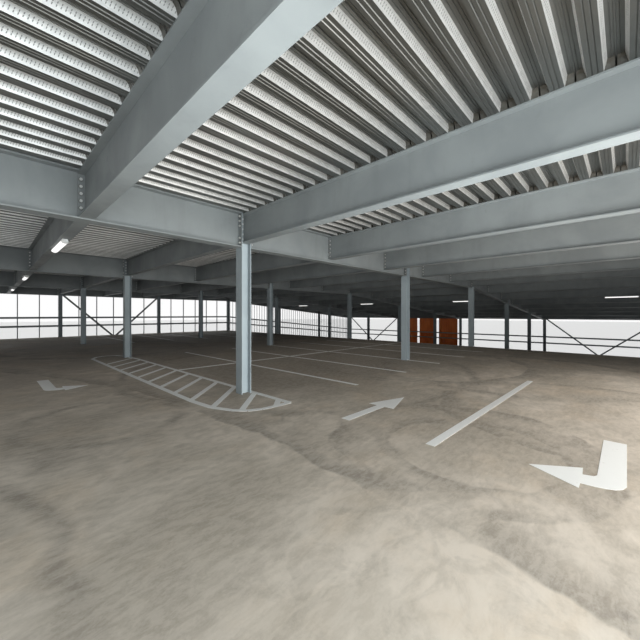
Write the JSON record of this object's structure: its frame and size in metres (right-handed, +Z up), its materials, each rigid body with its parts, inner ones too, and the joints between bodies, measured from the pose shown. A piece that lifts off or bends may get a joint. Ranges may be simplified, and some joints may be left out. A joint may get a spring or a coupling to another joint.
{
  "type": "multi storey car park, steel framed, part of a longer building",
  "caption": "Open-sided steel-framed parking building with flat and sloping decks on beams and H columns, ribbed deck soffits and guard rails.",
  "frame": {"origin": "centre of the plan at the lowest ground line, under the grid line where the levels start to fall", "axes": "+X along the girders towards the low end, +Y along the floor beams towards the rear, +Z up"},
  "size_m": [37.7, 29.7, 10.1738],
  "materials": {
    "concrete_wall": "cast concrete, matt",
    "concrete_floor": "power-floated concrete, worn by tyres",
    "galvanised_deck": "galvanised, spangled",
    "frame_paint": "pale blue-grey paint, satin",
    "column_paint": "pale blue-grey paint, satin",
    "rail_steel": "grey paint, satin",
    "orange_cladding": "orange coated sheet",
    "lamp_body": "opal white"
  },
  "bodies": {
    "root": {"plinth_wall_front": "concrete_wall", "plinth_wall_rear": "concrete_wall", "plinth_wall_west": "concrete_wall", "foundation_walls": "concrete_wall", "ground_slab_flat": "concrete_floor", "ground_slab_ramp": "concrete_floor", "level_1_slab_flat": "concrete_floor", "level_1_slab_ramp": "concrete_floor", "level_2_slab_flat": "concrete_floor", "level_2_slab_ramp": "concrete_floor", "level_1_deck": "galvanised_deck", "level_1_girders": "frame_paint", "level_1_beams_row_1": "frame_paint", "level_1_beams_row_2": "frame_paint", "level_1_beams_row_3": "frame_paint", "level_1_beams_row_4": "frame_paint", "level_2_deck": "galvanised_deck", "level_2_girders": "frame_paint", "level_2_beams_row_1": "frame_paint", "level_2_beams_row_2": "frame_paint", "level_2_beams_row_3": "frame_paint", "level_2_beams_row_4": "frame_paint", "ground_storey_columns_flat": "column_paint", "ground_storey_columns_ramp": "column_paint", "ground_storey_braces_east": "frame_paint", "ground_storey_braces_rear": "frame_paint", "ground_storey_rails_front": "rail_steel", "ground_storey_rails_rear": "rail_steel", "ground_storey_rails_west": "rail_steel", "ground_storey_rails_east": "rail_steel", "ground_storey_cladding_panels": "orange_cladding", "ground_storey_lamps": "lamp_body", "level_1_storey_columns_flat": "column_paint", "level_1_storey_columns_ramp": "column_paint", "level_1_storey_braces_east": "frame_paint", "level_1_storey_braces_rear": "frame_paint", "level_1_storey_rails_front": "rail_steel", "level_1_storey_rails_rear": "rail_steel", "level_1_storey_rails_west": "rail_steel", "level_1_storey_rails_east": "rail_steel", "level_1_storey_cladding_panels": "orange_cladding", "level_1_storey_lamps": "lamp_body", "roof_guard_posts": "rail_steel", "roof_guard_side_rails": "rail_steel", "roof_guard_end_rails": "rail_steel"}
  },
  "joints": []
}
